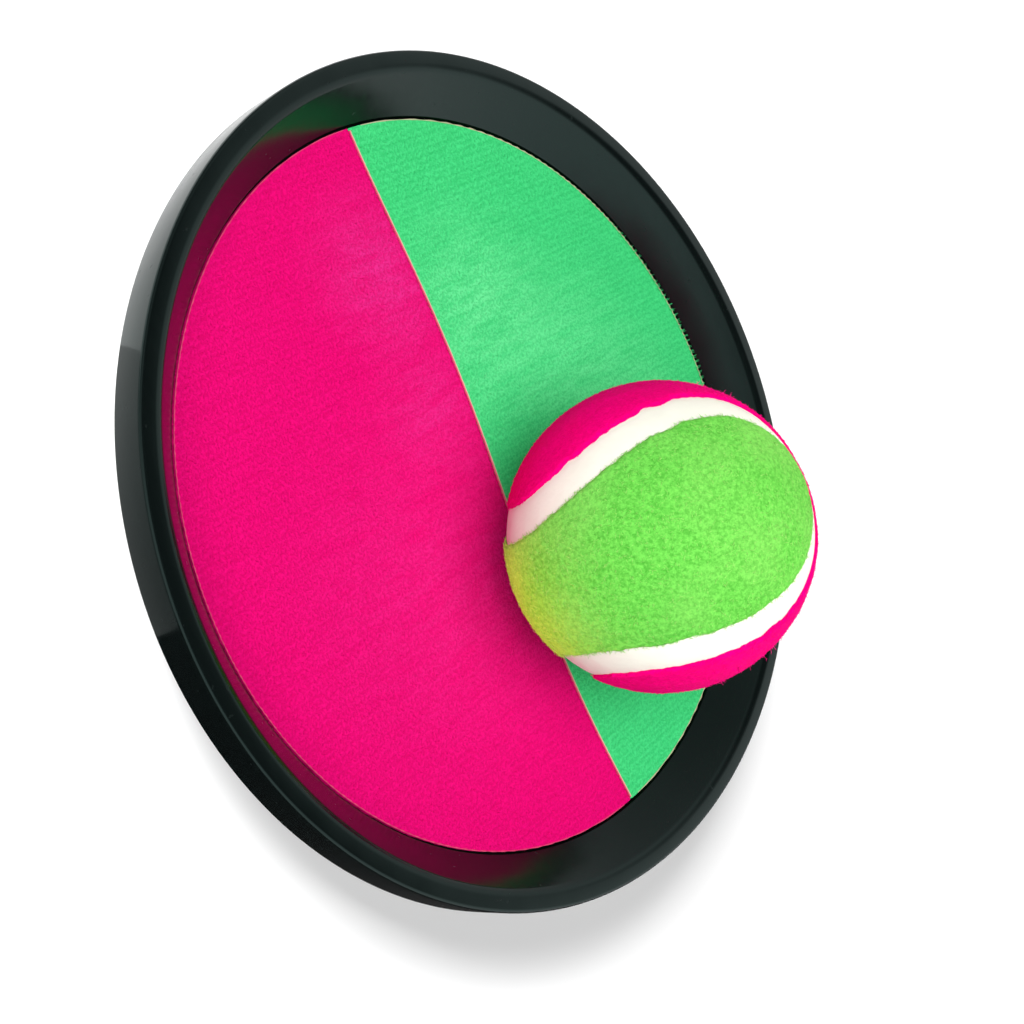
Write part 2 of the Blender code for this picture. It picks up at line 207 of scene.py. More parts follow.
# Pads: side of the seam, colours, spots of paler painted sheen as (place, radius, strength), edge colours
# and seed
PAD_LOOKS = {
    "pink": (
        -1, ((0.60, 0.002, 0.116), (0.75, 0.003, 0.168), (0.66, 0.04, 0.28)),
        [((-8 * MM, 50 * MM, PAD_TOP), 26 * MM, 0.55), ((-9 * MM, 20 * MM, PAD_TOP), 22 * MM, 0.35),
         ((-24 * MM, -14 * MM, PAD_TOP), 52 * MM, 0.25)],
        ((0.64, 0.02, 0.13), (0.74, 0.10, 0.20)), 17),
    "green": (
        1, ((0.030, 0.47, 0.134), (0.062, 0.64, 0.212), (0.160, 0.76, 0.31)),
        [((16 * MM, 34 * MM, PAD_TOP), 34 * MM, 0.80), ((40 * MM, 14 * MM, PAD_TOP), 34 * MM, 0.60),
         ((60 * MM, 0.0, PAD_TOP), 22 * MM, 0.35)],
        ((0.30, 0.50, 0.24), (0.62, 0.42, 0.33)), 23),
}

# World brightness along each axis: two places, and the value at each
WORLD_RAMPS = {"X": (0.45, 0.95, 1.0, 0.55), "Y": (0.1, 1.1, 1.0, 0.1), "Z": (0.60, 0.86, 1.35, 0.05)}

# Lights: energy, what is lit, place, side, aim and colour. The one without a place is a sun.
WHITE = (1.0, 1.0, 1.0)
DISH_AIM = (0.0, 0.0, 0.02)
BOUNCE_PLACE = (-29 * MM, -27 * MM, PAD_TOP + 3 * MM)
LIGHTS = {
    "overhead": (32.0, "all", (-0.50, 0.14, 1.94), 1.3, DISH_AIM, WHITE),
    "front": (42.0, "soft", (-1.50, 0.35, 1.57), 1.5, DISH_AIM, WHITE),
    "low_fill": (8.0, "soft", (-1.60, -1.24, 0.84), 1.2, DISH_AIM, WHITE),
    "kicker": (27.0, "ball", (1.25, -0.76, 1.37), 0.9, DISH_AIM, (1.0, 0.86, 0.84)),
    "floor_base": (2.1, "floor", None, None, None, WHITE),
    "floor_wash": (46.0, "floor", (-0.70, 1.30, 1.30), 0.70, DISH_AIM, WHITE),
    "pad_bounce": (0.033, "lime", BOUNCE_PLACE, 50 * MM, BALL_CENTRE, (1.0, 0.22, 0.0)),
}


# Node materials

class Nodes:
    """Short calls for the nodes that the finishes and the world share."""

    def __init__(self, tree, coordinates):
        self.tree = tree
        self.place = self.tree.nodes.new("ShaderNodeTexCoord").outputs[coordinates]

    def add(self, kind, sockets=(), **settings):
        made = self.tree.nodes.new(kind)
        for key, value in settings.items():
            setattr(made, key, value)
        for key, value in dict(sockets).items():
            if isinstance(value, bpy.types.NodeSocket):
                self.tree.links.new(value, made.inputs[key])
            else:
                made.inputs[key].default_value = value
        return made

    def part(self, axis):
        return self.add("ShaderNodeSeparateXYZ", {0: self.place}).outputs[axis]

    def stretched(self, x, y, z):
        return self.add("ShaderNodeMapping", {0: self.place, "Scale": (x, y, z)}).outputs[0]

    def cloudy(self, size, detail=2.0, place=None, rough=0.5):
        """Smooth noise from 0 to 1 with lumps about size across."""
        return self.add("ShaderNodeTexNoise", {"Vector": place or self.place, "Scale": 1 / size,
                                               "Detail": detail, "Roughness": rough}).outputs[0]

    def maths(self, operation, a, b=0.0, c=0.0):
        return self.add("ShaderNodeMath", {0: a, 1: b, 2: c}, operation=operation).outputs[0]

    def between(self, value, low, high, to_low=0.0, to_high=1.0):
        return self.add("ShaderNodeMapRange", {0: value, 1: low, 2: high, 3: to_low, 4: to_high},
                        interpolation_type="SMOOTHSTEP").outputs[0]

    def blend(self, share, a, b, mode="MIX"):
        a = a if isinstance(a, bpy.types.NodeSocket) else (*a, 1.0)
        b = b if isinstance(b, bpy.types.NodeSocket) else (*b, 1.0)
        return self.add("ShaderNodeMix", {0: share, 6: a, 7: b}, data_type="RGBA",
                        blend_type=mode).outputs[2]

    def spot(self, centre, radius):
        """1 at a place and 0 beyond the radius around it."""
        away = self.add("ShaderNodeVectorMath", {0: self.place, 1: centre}, operation="DISTANCE")
        return self.between(away.outputs["Value"], 0.0, radius, 1.0, 0.0)

    def wave(self, axis, pitch, wobble=None):
        """Bands from 0 to 1 across an axis, at a pitch."""
        turn = self.maths("MULTIPLY", self.part(axis), 2 * math.pi / pitch)
        if wobble:
            turn = self.maths("ADD", turn, wobble)
        return self.maths("MULTIPLY_ADD", self.maths("COSINE", turn), 0.5, 0.5)


class Paint(Nodes):
    """A node material on the Principled shader."""

    def __init__(self, name, roughness, **shader):
        self.material = bpy.data.materials.new(name)
        self.material.use_nodes = True
        super().__init__(self.material.node_tree, "Object")
        self.shader = self.tree.nodes["Principled BSDF"]
        self.shader.inputs["Roughness"].default_value = roughness
        for socket, value in shader.items():
            self.shader.inputs[socket.replace("_", " ")].default_value = value

    def finish(self, colour, bumps=(), roughness=None):
        self.tree.links.new(colour, self.shader.inputs["Base Color"])
        if roughness:
            self.tree.links.new(roughness, self.shader.inputs["Roughness"])
        normal = None
        for height, distance in bumps:
            sockets = {"Height": height, "Distance": distance, "Strength": 1.0}
            if normal:
                sockets["Normal"] = normal
            normal = self.add("ShaderNodeBump", sockets).outputs[0]
        if normal:
            self.tree.links.new(normal, self.shader.inputs["Normal"])
        return self.material


def plastic_material():
    p = Paint("black_plastic", 0.2, Specular_IOR_Level=0.32, Specular_Tint=(0.64, 1.0, 0.93, 1.0))
    tone = p.blend(p.cloudy(30 * MM), (0.0036, 0.0064, 0.0062), (0.0054, 0.0088, 0.0086))
    scuffs = p.cloudy(1.2 * MM, 4.0, p.stretched(1.0, 0.12, 1.0))
    dust = p.between(p.cloudy(1.6 * MM, 1.0), 0.73, 0.80)
    tone = p.blend(p.maths("MULTIPLY", dust, 0.15), tone, (0.03, 0.035, 0.035))
    rough = p.maths("MULTIPLY_ADD", scuffs, 0.12, 0.12)
    rough = p.maths("MULTIPLY_ADD", dust, 0.15, rough)
    return p.finish(tone, [(p.cloudy(14 * MM, 1.0), 0.12 * MM), (p.cloudy(0.7 * MM), 0.002 * MM)], rough)


def grip_material(name, deep, bright, pale, painted_sheen_spots, lift=0.0):
    """Woven nylon grip fabric: rows across the seam, fine dots, and paler patches of painted sheen."""
    p = Paint(name, 0.85, Specular_IOR_Level=0.03, Sheen_Weight=0.03, Sheen_Tint=(*pale, 1.0))
    wobble = p.maths("MULTIPLY", p.cloudy(9 * MM), 1.6)
    rows = p.wave(1, ROW_PITCH, wobble)
    dots = p.between(p.cloudy(0.50 * MM, 2.0), 0.36, 0.64)
    streaks = p.cloudy(2.4 * MM, 3.0, p.stretched(0.22, 1.0, 1.0))
    share = p.maths("MULTIPLY_ADD", rows, 0.30, p.maths("MULTIPLY", dots, 0.62))
    share = p.maths("ADD", p.maths("MULTIPLY_ADD", streaks, 0.45, share), lift - 0.1)
    colour = p.blend(share, deep, bright)
    # Each spot paints a paler sheen into the cloth colour at a fixed place, broken up by the streaks and
    # dots.
    for centre, radius, strength in painted_sheen_spots:
        patch = p.maths("MULTIPLY", p.spot(centre, radius), p.between(streaks, 0.25, 0.7, 0.35, 1.0))
        grain = p.between(dots, 0.35, 0.65, 0.5, 1.0)
        patch = p.maths("MULTIPLY", p.maths("MULTIPLY", patch, grain), strength)
        colour = p.blend(patch, colour, pale)
    return p.finish(colour, [(rows, 0.05 * MM), (dots, 0.10 * MM)])


def felt_material(name, deep, bright, light, sheen):
    """Needled felt: fine speckle in three tones, with a soft sheen."""
    p = Paint(name, 0.95, Specular_IOR_Level=0.03, Sheen_Weight=sheen, Sheen_Roughness=0.4,
              Sheen_Tint=(*light, 1.0))
    speckle = p.cloudy(0.9 * MM, 5.0, rough=0.8)
    fine = p.cloudy(0.32 * MM, 2.0)
    patch = p.cloudy(14 * MM, 2.0)
    colour = p.blend(p.between(speckle, 0.35, 0.63), deep, bright)
    colour = p.blend(p.maths("MULTIPLY", p.between(patch, 0.4, 0.7), 0.10), colour, light)
    return p.finish(colour, [(speckle, 0.16 * MM), (fine, 0.10 * MM)])


def mixed_material(name, roughness, size, low, high, detail=2.0, bump=0.0, **shader):
    """Two tones mixed by smooth noise, with bumps from the same noise."""
    p = Paint(name, roughness, **shader)
    cloud = p.cloudy(size, detail)
    return p.finish(p.blend(cloud, low, high), [(cloud, bump)] if bump else ())


def fibre_material(name, low, high, roughness=0.8):
    return mixed_material(name, roughness, 1.5 * MM, low, high, Specular_IOR_Level=0.05)


def seam_material():
    p = Paint("ball_seam_rubber", 0.55)
    cloud = p.cloudy(5 * MM, 3.0)
    return p.finish(p.blend(cloud, (0.75, 0.75, 0.65), (0.83, 0.83, 0.73)),
                    [(p.cloudy(1.3 * MM), 0.08 * MM)])


def webbing_material():
    p = Paint("black_webbing", 0.78, Sheen_Weight=0.2, Sheen_Roughness=0.4)
    across = p.wave(1, 1.6 * MM)
    along = p.maths("MULTIPLY", p.part(0), 2 * math.pi / (1.3 * MM))
    twill = p.maths("SINE", p.maths("MULTIPLY_ADD", across, 3.0, along))
    weave = p.maths("MULTIPLY_ADD", twill, 0.25, p.maths("MULTIPLY", across, 0.5))
    tone = p.blend(p.between(weave, 0.0, 0.7), (0.008, 0.008, 0.009), (0.034, 0.034, 0.036))
    return p.finish(tone, [(weave, 0.25 * MM), (p.cloudy(0.5 * MM), 0.06 * MM)])


def tape_material(name, low, high):
    return mixed_material(name, 0.9, 0.7 * MM, low, high, 3.0, 0.3 * MM, Sheen_Weight=0.3)


# Mesh helpers

def unit(vectors):
    return vectors / np.maximum(np.linalg.norm(vectors, axis=-1, keepdims=True), 1e-12)


def polar(radius, turn):
    return radius * math.cos(turn), radius * math.sin(turn)


def full_turn(steps):
    """Turns at an even spacing, once round."""
    return [2 * math.pi * i / steps for i in range(steps)]


def lumps(points, size, seed=0.0):
    """Smooth noise from about -1 to 1 at each point, with lumps about size across."""
    places = (np.asarray(points, float) / size + seed).tolist()
    return np.array([noise.noise(place) for place in places])


def grid_faces(rows, columns, first=0, wrap=False, flip=False):
    """Quads between rows of points that are stored one row after another."""
    index = first + np.arange(rows * columns).reshape(rows, columns)
    if wrap:
        index = np.vstack([index, index[:1]])
    quads = [index[:-1, :-1], index[:-1, 1:], index[1:, 1:], index[1:, :-1]]
    if flip:
        quads.reverse()
    return np.stack(quads, -1).reshape(-1, 4).tolist()


def ring_faces(rows, columns, wrap=False):
    """Quads between rings of points, each ring closed on itself."""
    index = np.arange(rows * columns).reshape(rows, columns)
    if wrap:
        index = np.vstack([index, index[:1]])
    after = np.roll(index, -1, axis=1)
    return np.stack([index[:-1], after[:-1], after[1:], index[1:]], -1).reshape(-1, 4).tolist()


def border(rows, columns):
    """Indices of the points once around a grid."""
    around = [r * columns for r in range(rows)]
    around += [(rows - 1) * columns + c for c in range(1, columns)]
    around += [r * columns + columns - 1 for r in range(rows - 2, -1, -1)]
    around += [c for c in range(columns - 2, 0, -1)]
    return around


def slab_faces(rows, columns):
    """Faces of a closed slab, from its upper grid of points followed by its lower one."""
    count = rows * columns
    faces = grid_faces(rows, columns) + grid_faces(rows, columns, count, flip=True)
    around = border(rows, columns)
    for a, b in zip(around, around[1:] + around[:1]):
        faces.append((a, b, count + b, count + a))
    return faces


def new_mesh(name, points, faces, merge=None, outward=False):
    """A mesh, with near points merged and faces turned outward where that is asked for."""
    mesh = bpy.data.meshes.new(name)
    mesh.from_pydata(points, [], faces)
    if merge or outward:
        bm = bmesh.new()
        bm.from_mesh(mesh)
        if merge:
            bmesh.ops.remove_doubles(bm, verts=bm.verts, dist=merge)
        bmesh.ops.recalc_face_normals(bm, faces=bm.faces)
        bm.to_mesh(mesh)
        bm.free()
    return mesh


def placed(name, data):
    """A new object in the scene."""
    obj = bpy.data.objects.new(name, data)
    bpy.context.scene.collection.objects.link(obj)
    return obj


def add_piece(name, points, faces, material, replaces=(), sharp=None, merge=None):
    mesh = new_mesh(name, np.asarray(points, float).tolist(), faces, merge)
    mesh.shade_smooth()
    if sharp:
        mesh.set_sharp_from_angle(angle=math.radians(sharp))
    obj = placed(name, mesh)
    mesh.materials.append(material)
    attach(obj, BODY)
    if replaces:
        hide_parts(*replaces)
    return obj


def fibre_mesh(paths, radii):
    """Three-sided closed hairs from paths of shape (hairs, points, 3), each ending in a tip."""
    count, steps, _ = paths.shape
    along = unit(paths[:, -1] - paths[:, 0])
    side = unit(np.cross(along, (0.31, 0.52, 0.79)))
    other = np.cross(along, side)
    rings = []
    for k in range(steps - 1):
        thick = np.full(count, radii) * (1 - 0.5 * k / (steps - 1))
        for a in full_turn(3):
            rings.append(paths[:, k] + thick[:, None] * (math.cos(a) * side + math.sin(a) * other))
    rings.append(paths[:, -1])
    points = np.stack(rings, 1)
    stride = points.shape[1]
    quads, triangles = [], [(0, 2, 1)]
    for corner in range(3):
        after = (corner + 1) % 3
        for k in range(steps - 2):
            quads.append((3 * k + corner, 3 * k + after, 3 * k + 3 + after, 3 * k + 3 + corner))
        top = 3 * (steps - 2)
        triangles.append((top + corner, top + after, stride - 1))
    starts = np.arange(count)[:, None, None] * stride
    faces = []
    for pattern in (quads, triangles):
        faces += (starts + np.array(pattern)[None]).reshape(-1, len(pattern[0])).tolist()
    return points.reshape(-1, 3), faces


def add_fibres(name, paths, radii, material):
    points, faces = fibre_mesh(paths, radii)
    return add_piece(name, points, faces, material)


def tube(points, radii, sides=5):
    """A closed cord along an open path in three dimensions."""
    points = np.asarray(points, float)
    along = unit(np.gradient(points, axis=0))
    side = unit(np.cross(along, (0.0, 0.0, 1.0)))
    other = np.cross(along, side)
    rings = [points + np.asarray(radii)[:, None] * (math.cos(a) * side + math.sin(a) * other)
             for a in full_turn(sides)]
    grid = np.stack(rings, 1)
    rows = len(points)
    faces = ring_faces(rows, sides)
    faces.append(tuple(reversed(range(sides))))
    faces.append(tuple((rows - 1) * sides + i for i in range(sides)))
    return grid.reshape(-1, 3), faces


def gathered(parts):
    """Several (points, faces) pairs as one."""
    points, faces, first = [], [], 0
    for some_points, some_faces in parts:
        points.append(some_points)
        faces += [tuple(first + i for i in face) for face in some_faces]
        first += len(some_points)
    return np.concatenate(points), faces


# Dish

def fillet(before, corner, after, radius, segments):
    """Points of the arc that rounds a corner between two straight lines."""
    to_before = (before - corner).normalized()
    to_after = (after - corner).normalized()
    half = to_before.angle(to_after) / 2
    centre = corner + (to_before + to_after).normalized() * radius / math.sin(half)
    start = corner + to_before * radius / math.tan(half) - centre
    end = corner + to_after * radius / math.tan(half) - centre
    return [centre + start.slerp(end, i / segments) * radius for i in range(segments + 1)]


def along_flare(depth, height):
    """Point at a height on a line parallel to the flared wall, at a depth under its surface."""
    direction = (WALL_HEAD - WALL_FOOT).normalized()
    inside = WALL_FOOT + Vector((direction.y, -direction.x)) * depth
    return inside + direction * ((height - inside.y) / direction.y)


def dish_profile():
    """Section of the dish from the axis over floor, pad seat, flared wall and lip,
    down the skirt and back to the axis along the underside."""
    inside = DISH_RADIUS - DISH_WALL
    outside_seat = SEAT_RADIUS + DISH_WALL
    under_lip = along_flare(DISH_WALL, CREST - DISH_WALL)
    slope = (WALL_HEAD.y - WALL_FOOT.y) / (WALL_HEAD.x - WALL_FOOT.x)
    under_flare = (outside_seat, under_lip.y - (under_lip.x - outside_seat) * slope)
    # Each corner, with the radius and the steps of its fillet
    corners = [
        ((0.0, FLOOR_TOP), 0, 0), ((SEAT_RADIUS, FLOOR_TOP), SEAT_FILLET, 3), (WALL_FOOT, 0, 0),
        (WALL_HEAD, LIP_INNER_FILLET, 6), ((DISH_RADIUS, CREST), LIP_OUTER_FILLET, 8),
        ((DISH_RADIUS, SKIRT_BOTTOM), SKIRT_EDGE_FILLET, 4), ((inside, SKIRT_BOTTOM), SKIRT_EDGE_FILLET, 4),
        ((inside, CREST - DISH_WALL), 0, 0), (under_lip, 0, 0), (under_flare, 0, 0),
        ((outside_seat, FLOOR_BOTTOM), FLOOR_CORNER_FILLET, 5), ((0.0, FLOOR_BOTTOM), 0, 0),
    ]
    places = [Vector(place) for place, _, _ in corners]
    points = []
    for i, (_, radius, steps) in enumerate(corners):
        points += fillet(*places[i - 1:i + 2], radius, steps) if radius else [places[i]]
    # One more point on each long straight run
    points.insert(points.index(WALL_FOOT) + 1, WALL_FOOT.lerp(WALL_HEAD, 0.5))
    points.insert(1, Vector((SEAT_RADIUS / 2, FLOOR_TOP)))
    points.insert(-1, Vector((SEAT_RADIUS / 2, FLOOR_BOTTOM)))
    return points


def lathe(profile, steps):
    """Turns a section about Z. Both of its ends are on the axis."""
    points = [(0.0, 0.0, profile[0].y)]
    for p in profile[1:-1]:
        points += [(*polar(p.x, a), p.y) for a in full_turn(steps)]
    points.append((0.0, 0.0, profile[-1].y))
    last = len(points) - 1
    faces = []
    for i in range(steps):
        j = (i + 1) % steps
        faces.append((0, 1 + i, 1 + j))
        for ring in range(len(profile) - 3):
            low, high = 1 + ring * steps, 1 + (ring + 1) * steps
            faces.append((low + i, high + i, high + j, low + j))
        faces.append((last - steps + i, last, last - steps + j))
    return points, faces


def helper(name, points, faces, rounding=None):
    """A closed body that is joined to the dish and then removed."""
    obj = placed(name, new_mesh(name, points, faces, outward=True))
    if rounding:
        bevel = obj.modifiers.new("rounding", "BEVEL")
        bevel.width = rounding
        bevel.segments = 3
        bevel.limit_method = "ANGLE"
        bevel.angle_limit = math.radians(40)
    return obj


def prism(outline, low, high, place):
    """A flat outline pushed between two depths; place(u, v, depth) gives a point."""
    count = len(outline)
    points = [place(p[0], p[1], depth) for depth in (low, high) for p in outline]
    faces = [tuple(range(count)), tuple(range(2 * count - 1, count - 1, -1))]
    for i in range(count):
        j = (i + 1) % count
        faces.append((i, j, count + j, count + i))
    return points, faces


def corner_arc(centre, radius, start, end, segments):
    turns = [math.radians(start + (end - start) * i / segments) for i in range(segments + 1)]
    return [(centre[0] + x, centre[1] + y) for x, y in (polar(radius, a) for a in turns)]


def rim_rib_helpers():
    """Upright ribs in the channel between the flared wall and the skirt."""
    low = SKIRT_BOTTOM + RIM_RIB_SETBACK
    high = CREST - DISH_WALL / 2
    half_wall = DISH_RADIUS - DISH_WALL / 2
    outline = [along_flare(DISH_WALL / 2, low), along_flare(DISH_WALL / 2, high),
               Vector((half_wall, high)), Vector((half_wall, low))]
    parts = []
    for i in range(RIM_RIBS):
        # Half a step on, so that no rib stands on an axis
        a = 2 * math.pi * (i + 0.5) / RIM_RIBS

        def place(u, v, depth):
            return (u * math.cos(a) - depth * math.sin(a), u * math.sin(a) + depth * math.cos(a), v)

        points, faces = prism(outline, -RIM_RIB_THICKNESS / 2, RIM_RIB_THICKNESS / 2, place)
        parts.append((np.array(points), faces))
    points, faces = gathered(parts)
    return helper("rim_ribs", points.tolist(), faces)


def ring_rib_helper():
    top = FLOOR_BOTTOM + ROOT_DEPTH
    bottom = FLOOR_BOTTOM - RING_RIB_HEIGHT
    outer = RING_RIB_RADIUS + RING_RIB_THICKNESS / 2
    inner = RING_RIB_RADIUS - RING_RIB_THICKNESS / 2
    section = [(outer, top), (outer, bottom), (inner, bottom), (inner, top)]
    points = [(*polar(r, a), z) for a in full_turn(DISH_STEPS) for r, z in section]
    return helper("ring_rib", points, ring_faces(DISH_STEPS, len(section), wrap=True))


def bridge_helper(name, x):
    """A bar on two posts, with the slot for the strap between bar and floor."""
    slot_half = STRAP_WIDTH / 2 + SLOT_SIDE_CLEARANCE
    half = slot_half + POST_WIDTH
    top = FLOOR_BOTTOM + ROOT_DEPTH
    low_corner = BAR_BOTTOM + BRIDGE_CORNER
    slot_corner = BAR_TOP + SLOT_CORNER
    outline = [(-half, top)]
    outline += corner_arc((-half + BRIDGE_CORNER, low_corner), BRIDGE_CORNER, 180, 270, 10)
    outline += corner_arc((half - BRIDGE_CORNER, low_corner), BRIDGE_CORNER, 270, 360, 10)
    outline += [(half, top), (slot_half, top)]
    outline += corner_arc((slot_half - SLOT_CORNER, slot_corner), SLOT_CORNER, 0, -90, 5)
    outline += corner_arc((-slot_half + SLOT_CORNER, slot_corner), SLOT_CORNER, -90, -180, 5)
    outline += [(-slot_half, top)]
    points, faces = prism(outline, x - BAR_WIDTH / 2, x + BAR_WIDTH / 2, lambda u, v, d: (d, u, v))
    return helper(name, points, faces, BRIDGE_ROUNDING)


def mark_helper(name, x, y, radius, height):
    """A shallow round mark that the mould leaves under the floor."""
    outline = corner_arc((x, y), radius, 0, 345, 23)
    points, faces = prism(outline, FLOOR_BOTTOM + ROOT_DEPTH, FLOOR_BOTTOM - height,
                          lambda u, v, d: (u, v, d))
    return helper(name, points, faces)


def make_dish():
    points, faces = lathe(dish_profile(), DISH_STEPS)
    base = helper("dish_body", points, faces)
    tools = [rim_rib_helpers(), ring_rib_helper(), bridge_helper("bridge_a", -BAR_PLACE),
             bridge_helper("bridge_b", BAR_PLACE), mark_helper("gate", 0, 0, GATE_RADIUS, GATE_HEIGHT)]
    for i, turn in enumerate(full_turn(PIN_MARKS)):
        x, y = polar(PIN_MARK_CIRCLE, math.radians(30) + turn)
        tools.append(mark_helper(f"pin_{i}", x, y, PIN_MARK_RADIUS, PIN_MARK_HEIGHT))
    for tool in tools:
        union = base.modifiers.new(tool.name, "BOOLEAN")
        union.operation = "UNION"
        union.solver = "EXACT"
        union.object = tool
    bpy.context.view_layer.update()
    whole = bpy.data.meshes.new_from_object(base.evaluated_get(bpy.context.evaluated_depsgraph_get()))
    for obj in [base, *tools]:
        bpy.data.objects.remove(obj)
    whole.name = "dish_moulding"
    whole.shade_smooth()
    whole.set_sharp_from_angle(angle=math.radians(32))
    dish = placed("dish_moulding", whole)
    whole.materials.clear()
    whole.materials.append(plastic_material())
    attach(dish, BODY)
    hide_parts("dish_shell")


# Pads

def seam_shift(y):
    """How far the cut line between the pads wanders from the middle of the dish."""
    places, shifts = np.array(SEAM_WANDER, float).T
    return np.polyval(np.polyfit(places / 80, shifts, 6), y / MM / 80) * MM


def pad_relief(x, y):
    """Height of the woven surface over its middle level."""
    flat = np.stack([x, y, np.zeros_like(x)], -1).reshape(-1, 3)
    sway = lumps(flat, 9 * MM, 3.7).reshape(x.shape) * 0.8
    rows = np.cos(2 * math.pi * y / ROW_PITCH + sway) * ROW_RELIEF
    return rows + lumps(flat, 17 * MM, 8.1).reshape(x.shape) * 0.10 * MM


def on_line(values):
    """Points on one axis, as places for the noise."""
    return np.stack([values, values * 0, values * 0], -1)


def make_pad_sheet(name, side, material, slot):
    """The woven sheet of one half, ragged at the outer edge and rolled down at its rim."""
    step = ROW_PITCH / ROW_STEPS
    reach = PAD_RADIUS - 0.03 * MM
    lines = np.linspace(-reach, reach, int(2 * reach / step))
    spread = 0.5 - 0.5 * np.cos(math.pi * np.linspace(0, 1, PAD_COLUMNS + 1))
    inner = seam_shift(lines) + side * 0.12 * MM
    fray = lumps(on_line(lines), 0.9 * MM, 5.5) * 0.14 * MM
    outer = side * (np.sqrt(PAD_RADIUS ** 2 - lines ** 2) + fray)
    inner = np.where(side * (outer - inner) < 0.2 * MM, outer - side * 0.2 * MM, inner)
    x = inner[:, None] + (outer - inner)[:, None] * spread[None]
    y = np.repeat(lines[:, None], PAD_COLUMNS + 1, axis=1)
    rim = np.minimum(np.abs(x - inner[:, None]), np.abs(outer[:, None] - x))
    rolled = np.maximum(0.0, 1 - rim / (0.5 * MM)) ** 2 * 0.22 * MM
    z = CLOTH_LEVEL + pad_relief(x, y) - rolled
    top = np.stack([x, y, z], -1).reshape(-1, 3)
    rows, columns = x.shape
    faces = grid_faces(rows, columns, flip=side < 0)
    around = border(rows, columns)
    if side < 0:
        around.reverse()
    low = top[around]
    low[:, 2] = PAD_BOTTOM
    first = len(top)
    count = len(around)
    for i in range(count):
        j = (i + 1) % count
        faces.append((around[i], around[j], first + j, first + i))
    faces.append(tuple(range(first, first + count)))
    return add_piece(name, np.vstack([top, low]), faces, material, (slot,), sharp=50)


def make_hooks(name, side, material, seed):
    """Rows of small nylon hooks that stand on the woven pad."""
    rng = np.random.default_rng(seed)
    reach = PAD_RADIUS - 0.5 * MM
    pitch = ROW_PITCH / 2
    places = []
    for k in range(-int(reach / pitch), int(reach / pitch) + 1):
        y = k * pitch
        near = seam_shift(y) + side * 0.5 * MM
        far = side * math.sqrt(reach ** 2 - y * y)
        if side * (far - near) < HOOK_SPACING:
            continue
        count = int(abs(far - near) / HOOK_SPACING)
        x = near + side * (np.arange(count) + k * HOOK_STAGGER % 1) * HOOK_SPACING
        places.append(np.stack([x, np.full(count, y)], -1))
    places = np.concatenate(places)
    count = len(places)
    places += rng.normal(0, 0.13 * MM, places.shape)
    root = np.column_stack([places, CLOTH_LEVEL + pad_relief(places[:, 0], places[:, 1]) - 0.08 * MM])
    lean = rng.normal(0, 0.16, (count, 2))
    hand = np.where(np.arange(count) % 2, 1.0, -1.0) * rng.uniform(0.6, 1.2, count)
    tall = HOOK_HEIGHT * rng.uniform(0.75, 1.12, count)
    path = []
    for out, up in PAD_HOOK_SHAPE:
        point = root.copy()
        point[:, 0] += tall * (out * hand + lean[:, 0] * up)
        point[:, 1] += tall * lean[:, 1] * up
        point[:, 2] += tall * up
        path.append(point)
    radii = HOOK_RADIUS * rng.uniform(0.8, 1.15, count)
    return add_fibres(name, np.stack(path, 1), radii, material)


def make_cut_edge(name, side, material):
    """The pale cut edge of the pad's backing, beaded where the rows end."""
    seam_y = np.linspace(-PAD_RADIUS + 0.6 * MM, PAD_RADIUS - 0.6 * MM, SEAM_EDGE_STEPS)
    flat = on_line(seam_y)
    seam_x = seam_shift(seam_y) + side * (0.14 + 0.05 * lumps(flat, 1.1 * MM, side)) * MM
    seam = np.column_stack([seam_x, seam_y, np.full(SEAM_EDGE_STEPS, CLOTH_LEVEL + 0.10 * MM)])
    seam_thick = (0.17 + 0.05 * lumps(flat, 0.7 * MM, 2.0)) * MM
    turn = np.linspace(-math.pi / 2, math.pi / 2, ROUND_EDGE_STEPS)[8:-8]
    r = PAD_RADIUS - 0.10 * MM
    x, y = side * r * np.cos(turn), r * np.sin(turn)
    bead = np.cos(2 * math.pi * y / ROW_PITCH)
    arc = np.column_stack([x, y, np.full(len(x), CLOTH_LEVEL + 0.02 * MM) + 0.05 * MM * bead])
    arc_thick = (0.13 + 0.05 * bead) * MM
    points, faces = gathered([tube(seam, seam_thick), tube(arc, arc_thick)])
    return add_piece(name, points, faces, material)


def make_fray(name, material):
    """Loose row ends that stand up at the outer edge of the green pad."""
    rng = np.random.default_rng(FRAY_SEED)
    rows = np.arange(-44, 46) * ROW_PITCH
    y = np.repeat(rows, 5) + rng.normal(0, 0.22 * MM, 5 * len(rows))
    y = y[np.abs(y) < PAD_RADIUS - 12 * MM]
    r = PAD_RADIUS - rng.uniform(0.1, 1.0, len(y)) * MM
    x = np.sqrt(r ** 2 - y ** 2)
    root = np.column_stack([x, y, np.full(len(y), CLOTH_LEVEL - 0.05 * MM)])
    out = unit(np.column_stack([x, 0.35 * y, np.zeros(len(y))]))
    edge = np.clip(1 - np.abs(y - 5 * MM) / (70 * MM), 0.25, 1.0)
    tall = rng.uniform(0.5, 1.7, len(y)) * edge * MM
    bend = rng.uniform(0.25, 0.65, len(y))
    path = []
    for share in (0.0, 0.45, 0.8, 1.0):
        point = root + out * (tall * bend * share ** 1.6)[:, None]
        point[:, 2] += tall * share * (1 - 0.15 * share)
        path.append(point)
    return add_fibres(name, np.stack(path, 1), FRAY_HAIR_RADIUS, material)


